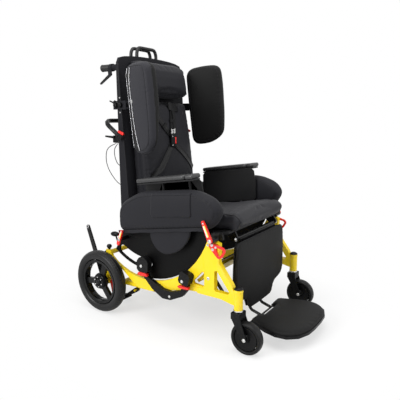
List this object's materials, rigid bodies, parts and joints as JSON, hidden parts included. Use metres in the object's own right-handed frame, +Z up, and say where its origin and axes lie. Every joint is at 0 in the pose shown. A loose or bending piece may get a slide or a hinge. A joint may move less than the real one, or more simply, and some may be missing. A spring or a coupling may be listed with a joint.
{
  "type": "reclining wheelchair",
  "caption": "Attendant wheelchair whose seat tilts on rockers, with a reclining back, swing-out lateral pads, padded sides, lifting arms, a raising leg rest and a folding footplate.",
  "frame": {"origin": "centre of the bounding box in plan, on the floor", "axes": "+Z up, -Y the way the user faces, -X the user's right"},
  "size_m": [0.712, 1.188, 1.3283],
  "materials": {
    "yellow_frame": "gloss powder coat",
    "black_metal": "satin powder coat",
    "black_plastic": "fine grain",
    "black_upholstery": "coated knit",
    "back_shell_dark": "matt",
    "black_tyre": "matt",
    "black_rim": "satin",
    "red_paint": "satin",
    "steel": "ground",
    "rocker_board": "speckled textured coat",
    "black_webbing": "woven webbing"
  },
  "bodies": {
    "base": {"side_frame_right": "yellow_frame", "side_frame_left": "yellow_frame", "cross_beam": "yellow_frame", "rear_cross_tube": "yellow_frame", "axle_beam": "yellow_frame", "roller_carrier_right": "black_plastic", "roller_carrier_left": "black_plastic", "tie_down_ring_right": "red_paint", "tie_down_ring_left": "red_paint"},
    "front_rollers": {"front_roller_shaft": "steel"},
    "rear_rollers": {"rear_roller_shaft": "steel"},
    "pedal": {"brake_pedal": "black_metal"},
    "parking": {"parking_lever": "black_metal"},
    "wheel_right": {"rear_wheel_right": "black_rim", "rear_tyre_right": "black_tyre"},
    "wheel_left": {"rear_wheel_left": "black_rim", "rear_tyre_left": "black_tyre"},
    "fork_right": {"caster_fork_right": "black_plastic"},
    "fork_left": {"caster_fork_left": "black_plastic"},
    "caster_right": {"caster_wheel_right": "black_plastic", "caster_tyre_right": "black_tyre"},
    "caster_left": {"caster_wheel_left": "black_plastic", "caster_tyre_left": "black_tyre"},
    "front_lever_right": {"lock_lever_front_right": "red_paint"},
    "front_lever_left": {"lock_lever_front_left": "red_paint"},
    "seat": {"seat_frame": "black_metal", "rocker_right": "rocker_board", "rocker_left": "rocker_board", "seat_cushion": "black_upholstery", "side_bolster_right": "black_upholstery", "side_bolster_left": "black_upholstery"},
    "rear_lever_right": {"lock_lever_rear_right": "red_paint"},
    "rear_lever_left": {"lock_lever_rear_left": "red_paint"},
    "arm_right": {"arm_frame_right": "black_metal", "arm_pad_right": "black_plastic"},
    "arm_left": {"arm_frame_left": "black_metal", "arm_pad_left": "black_plastic"},
    "strut_tube": {"strut_body": "black_metal"},
    "strut_piston": {"strut_rod": "steel"},
    "back": {"back_shell": "back_shell_dark", "back_cushion": "black_upholstery", "head_cushion": "black_upholstery", "harness": "black_webbing", "buckle": "black_plastic", "cable_long": "black_plastic", "cable_short": "black_plastic"},
    "wing_right": {"wing_plate_right": "black_metal", "wing_cushion_right": "black_upholstery"},
    "wing_left": {"wing_plate_left": "black_metal", "wing_cushion_left": "black_upholstery"},
    "push_bar": {"push_bar": "black_metal"},
    "grip_right": {"grip_lever_right": "black_metal"},
    "grip_left": {"grip_lever_left": "black_metal"},
    "brake": {"brake_lever": "black_metal"},
    "button": {"buckle_button": "red_paint"},
    "legrest": {"legrest_frame": "black_metal", "calf_pad": "black_upholstery"},
    "foot_bars": {"foot_bars": "black_metal"},
    "footplate": {"foot_board": "black_plastic", "foot_pad": "black_upholstery"}
  },
  "joints": [
    {"name": "tilt", "type": "hinge", "parent": "base", "child": "seat", "pos_m": [0, 0.155, 0.595], "axis": [-1, 0, 0], "range_deg": [0, 30]},
    {"name": "front_roller_turn", "type": "hinge", "parent": "base", "child": "front_rollers", "pos_m": [0, -0.08593, 0.26821], "axis": [-1, 0, 0], "range_deg": [-380, 5]},
    {"name": "rear_roller_turn", "type": "hinge", "parent": "base", "child": "rear_rollers", "pos_m": [0, 0.155, 0.291], "axis": [-1, 0, 0], "range_deg": [-390, 5]},
    {"name": "recline", "type": "hinge", "parent": "seat", "child": "back", "pos_m": [0, 0.32, 0.47], "axis": [-1, 0, 0], "range_deg": [0, 40]},
    {"name": "strut_swing", "type": "hinge", "parent": "seat", "child": "strut_tube", "pos_m": [-0.2, 0.115, 0.327], "axis": [1, 0, 0], "range_deg": [-0.5, 7]},
    {"name": "strut_slide", "type": "slide", "parent": "strut_tube", "child": "strut_piston", "axis": [0, 0.9057, 0.4239], "range_m": [-0.024, 0.001]},
    {"name": "leg_raise", "type": "hinge", "parent": "seat", "child": "legrest", "pos_m": [0, -0.276, 0.456], "axis": [-1, 0, 0], "range_deg": [0, 70]},
    {"name": "foot_length", "type": "slide", "parent": "legrest", "child": "foot_bars", "axis": [0, 0, 1], "range_m": [-0.04, 0.015]},
    {"name": "foot_fold", "type": "hinge", "parent": "foot_bars", "child": "footplate", "pos_m": [0, -0.338, 0.0655], "axis": [-1, 0, 0], "range_deg": [0, 85]},
    {"name": "arm_lift_right", "type": "slide", "parent": "seat", "child": "arm_right", "axis": [0, 0.1392, 0.9903], "range_m": [0, 0.07]},
    {"name": "arm_lift_left", "type": "slide", "parent": "seat", "child": "arm_left", "axis": [0, 0.1392, 0.9903], "range_m": [0, 0.07]},
    {"name": "rear_lock_right", "type": "hinge", "parent": "seat", "child": "rear_lever_right", "pos_m": [-0.338, 0.28, 0.402], "axis": [1, 0, 0], "range_deg": [-25, 25]},
    {"name": "rear_lock_left", "type": "hinge", "parent": "seat", "child": "rear_lever_left", "pos_m": [0.338, 0.28, 0.402], "axis": [1, 0, 0], "range_deg": [-25, 25]},
    {"name": "front_lock_right", "type": "hinge", "parent": "base", "child": "front_lever_right", "pos_m": [-0.3362, -0.238, 0.474], "axis": [1, 0, 0], "range_deg": [-30, 60]},
    {"name": "front_lock_left", "type": "hinge", "parent": "base", "child": "front_lever_left", "pos_m": [0.3362, -0.238, 0.474], "axis": [1, 0, 0], "range_deg": [-30, 60]},
    {"name": "pedal_press", "type": "hinge", "parent": "base", "child": "pedal", "pos_m": [-0.181, 0.325, 0.085], "axis": [1, 0, 0], "range_deg": [-8, 15]},
    {"name": "parking_pull", "type": "hinge", "parent": "base", "child": "parking", "pos_m": [-0.2631, 0.492, 0.16], "axis": [1, 0, 0], "range_deg": [-10, 20]},
    {"name": "wheel_spin_right", "type": "hinge", "parent": "base", "child": "wheel_right", "pos_m": [-0.329, 0.43, 0.159], "axis": [1, 0, 0], "continuous": true},
    {"name": "wheel_spin_left", "type": "hinge", "parent": "base", "child": "wheel_left", "pos_m": [0.329, 0.43, 0.159], "axis": [1, 0, 0], "continuous": true},
    {"name": "swivel_right", "type": "hinge", "parent": "base", "child": "fork_right", "pos_m": [-0.2905, -0.349, 0.2], "axis": [0, 0, 1], "continuous": true},
    {"name": "swivel_left", "type": "hinge", "parent": "base", "child": "fork_left", "pos_m": [0.2905, -0.349, 0.2], "axis": [0, 0, 1], "continuous": true},
    {"name": "caster_roll_right", "type": "hinge", "parent": "fork_right", "child": "caster_right", "pos_m": [-0.2905, -0.392, 0.071], "axis": [1, 0, 0], "continuous": true},
    {"name": "caster_roll_left", "type": "hinge", "parent": "fork_left", "child": "caster_left", "pos_m": [0.2905, -0.392, 0.071], "axis": [1, 0, 0], "continuous": true},
    {"name": "wing_swing_right", "type": "hinge", "parent": "back", "child": "wing_right", "pos_m": [-0.235, 0.273, 1.008], "axis": [0, -0.1097, -0.994], "range_deg": [-15, 65]},
    {"name": "wing_swing_left", "type": "hinge", "parent": "back", "child": "wing_left", "pos_m": [0.235, 0.273, 1.008], "axis": [0, 0.1097, 0.994], "range_deg": [-15, 65]},
    {"name": "push_bar_angle", "type": "hinge", "parent": "back", "child": "push_bar", "pos_m": [0, 0.33, 0.885], "axis": [1, 0, 0], "range_deg": [-10, 15]},
    {"name": "grip_squeeze_right", "type": "hinge", "parent": "back", "child": "grip_right", "pos_m": [-0.2162, 0.418, 1.185], "axis": [1, 0, 0], "range_deg": [0, 12], "stiffness_Nm_per_rad": 1.2, "springref_deg": -11.46},
    {"name": "grip_squeeze_left", "type": "hinge", "parent": "back", "child": "grip_left", "pos_m": [0.2162, 0.418, 1.185], "axis": [1, 0, 0], "range_deg": [0, 12], "stiffness_Nm_per_rad": 1.2, "springref_deg": -11.46},
    {"name": "brake_squeeze", "type": "hinge", "parent": "back", "child": "brake", "pos_m": [-0.2401, 0.392, 0.882], "axis": [1, 0, 0], "range_deg": [0, 15], "stiffness_Nm_per_rad": 1, "springref_deg": -11.46},
    {"name": "button_press", "type": "slide", "parent": "back", "child": "button", "axis": [0, 1, 0], "range_m": [0, 0.003], "stiffness_N_per_m": 500, "springref_m": -0.002}
  ],
  "couplings": [
    {"joint": "front_roller_turn", "follows": "tilt", "ratio": -12.517},
    {"joint": "rear_roller_turn", "follows": "tilt", "ratio": -12.796},
    {"joint": "strut_swing", "follows": "recline", "ratio": 0.16},
    {"joint": "strut_slide", "follows": "recline", "m_per_rad": -0.0325}
  ]
}
